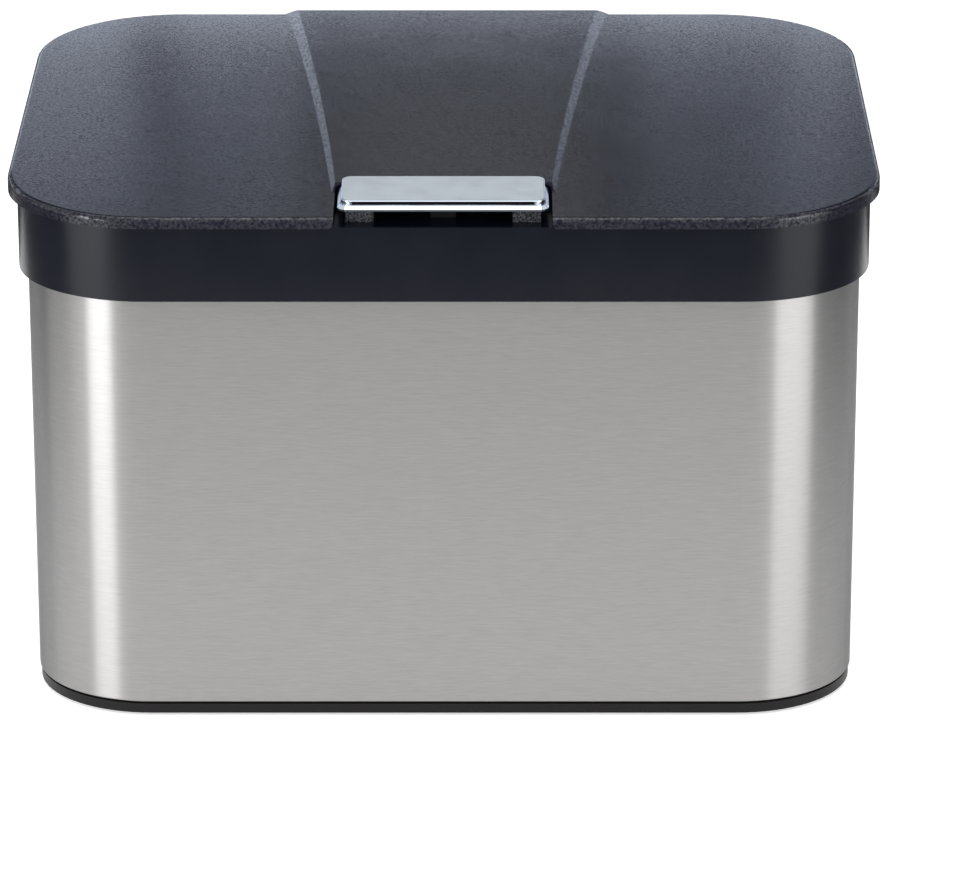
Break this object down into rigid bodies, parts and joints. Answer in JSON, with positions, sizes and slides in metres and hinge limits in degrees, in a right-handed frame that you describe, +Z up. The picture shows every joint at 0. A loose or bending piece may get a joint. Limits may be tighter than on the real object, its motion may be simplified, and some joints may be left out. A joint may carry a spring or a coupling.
{
  "type": "push top countertop bin",
  "caption": "Rectangular countertop bin with a steel wrap, dark plastic rim and base, lift-out bucket and a hinged lid released by a push button in its front edge.",
  "frame": {"origin": "on the floor, under the middle of the whole bin, hinge barrels included", "axes": "+Z up, -Y towards the front with the push button, +X to the right of someone facing the front"},
  "size_m": [0.28, 0.2207, 0.1808],
  "materials": {
    "lid": "fine moulded texture, charcoal",
    "rim": "satin, near black",
    "steel": "brushed across",
    "base": "satin",
    "chrome": "bright plated",
    "carrier": "textured",
    "bucket": "fine moulded texture",
    "housing": "moulded",
    "acetal": "natural acetal",
    "rubber": "matt",
    "seal": "soft silicone",
    "zinc": "zinc plated",
    "spring_steel": "drawn wire"
  },
  "bodies": {
    "bin": {"base_tray": "base", "rubber_feet": "rubber", "foot_screws": "zinc", "steel_sleeve": "steel", "collar": "rim", "inner_bucket": "bucket", "latch_housing": "housing", "housing_screws": "zinc", "latch_pin": "zinc", "latch_spring": "spring_steel", "button_springs": "spring_steel", "lid_bumpers": "rubber", "hinge_pins": "zinc", "hinge_springs": "spring_steel"},
    "lid": {"lid_shell": "lid", "lid_seal": "seal", "lid_striker": "zinc"},
    "button": {"button_carrier": "carrier", "button_cap": "chrome"},
    "latch": {"latch_lever": "acetal"}
  },
  "joints": [
    {"name": "lid_hinge", "type": "hinge", "parent": "bin", "child": "lid", "pos_m": [0, 0.1068, 0.1625], "axis": [-1, 0, 0], "range_deg": [0, 85], "deforming": ["hinge_springs"]},
    {"name": "button_press", "type": "slide", "parent": "bin", "child": "button", "axis": [0, 0, -1], "range_m": [0, 0.004], "stiffness_N_per_m": 800, "springref_m": -0.002, "deforming": ["button_springs"]},
    {"name": "latch_pivot", "type": "hinge", "parent": "bin", "child": "latch", "pos_m": [0, -0.0809, 0.1525], "axis": [1, 0, 0], "range_deg": [0, 20], "deforming": ["latch_spring"]}
  ],
  "couplings": [
    {"joint": "latch_pivot", "follows": "button_press", "rad_per_m": 87.266}
  ]
}
